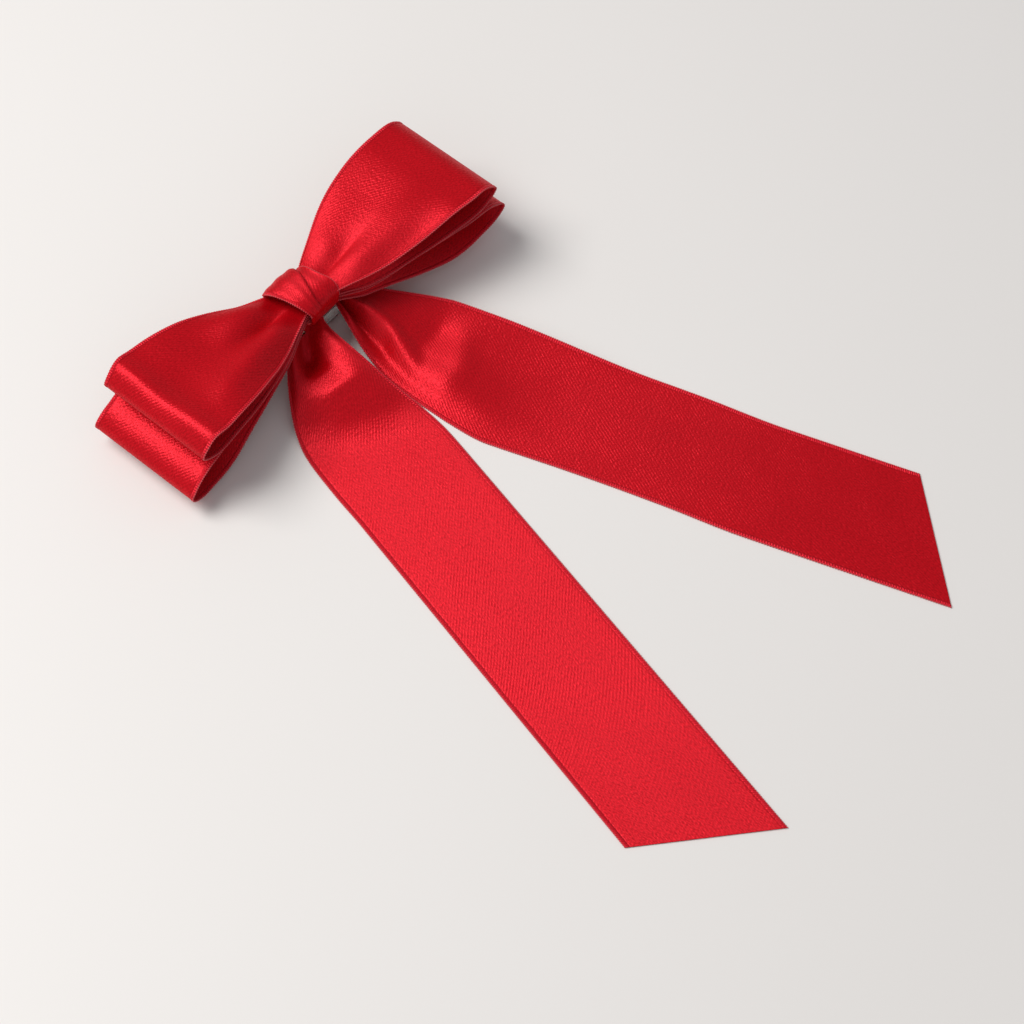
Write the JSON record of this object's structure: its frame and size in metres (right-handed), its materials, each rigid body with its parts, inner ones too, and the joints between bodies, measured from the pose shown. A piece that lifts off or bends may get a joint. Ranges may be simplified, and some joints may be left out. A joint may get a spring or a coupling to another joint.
{
  "type": "hair bow",
  "caption": "Red satin ribbon hair bow with stacked loops, a wrapped knot and long slant-cut tails, on a spring barrette.",
  "frame": {"origin": "middle of the lever's flat outer face, under the knot, on the surface that the bow lies on", "axes": "+X from the left loops to the right loops, along the clip; +Y away from the tails; +Z out of the bow's face"},
  "size_m": [0.1443, 0.2231, 0.0302],
  "materials": {
    "red_satin": "satin",
    "thread": "matte",
    "glue": "semi-gloss",
    "plate_steel": "nickel-plated, lightly worn",
    "spring_steel": "brushed"
  },
  "bodies": {
    "bow": {"upper_loop_ribbon": "red_satin", "lower_loop_ribbon": "red_satin", "left_tail_top": "red_satin", "right_tail_top": "red_satin", "knot_ribbon": "red_satin", "binding_thread": "thread", "glue_pad": "glue", "base_plate": "plate_steel", "hinge_pin": "plate_steel", "tension_strip": "spring_steel", "clasp_bracket": "spring_steel", "clasp_rivet": "plate_steel"},
    "lever": {"lever_arm": "plate_steel"},
    "prong_front": {"clasp_prong_front": "spring_steel"},
    "prong_back": {"clasp_prong_back": "spring_steel"},
    "left_tail": {"left_tail_end": "red_satin"},
    "right_tail": {"right_tail_end": "red_satin"}
  },
  "joints": [
    {"name": "lever_hinge", "type": "hinge", "parent": "bow", "child": "lever", "pos_m": [-0.027, 0, 0.0028], "axis": [0, 1, 0], "range_deg": [0, 75]},
    {"name": "clasp_prong_front_flex", "type": "hinge", "parent": "bow", "child": "prong_front", "pos_m": [0.026, -0.00335, 0.0073], "axis": [1, 0, 0], "range_deg": [0, 5], "stiffness_Nm_per_rad": 0.5},
    {"name": "clasp_prong_back_flex", "type": "hinge", "parent": "bow", "child": "prong_back", "pos_m": [0.026, 0.00335, 0.0073], "axis": [-1, 0, 0], "range_deg": [0, 5], "stiffness_Nm_per_rad": 0.5},
    {"name": "left_tail_bend", "type": "hinge", "parent": "bow", "child": "left_tail", "pos_m": [-0.02117, -0.06377, 0.00025], "axis": [-0.9774, 0.2112, 0], "range_deg": [-90, 90]},
    {"name": "right_tail_bend", "type": "hinge", "parent": "bow", "child": "right_tail", "pos_m": [0.02557, -0.0643, 0.00025], "axis": [-0.9686, -0.2486, 0], "range_deg": [-90, 90]}
  ]
}
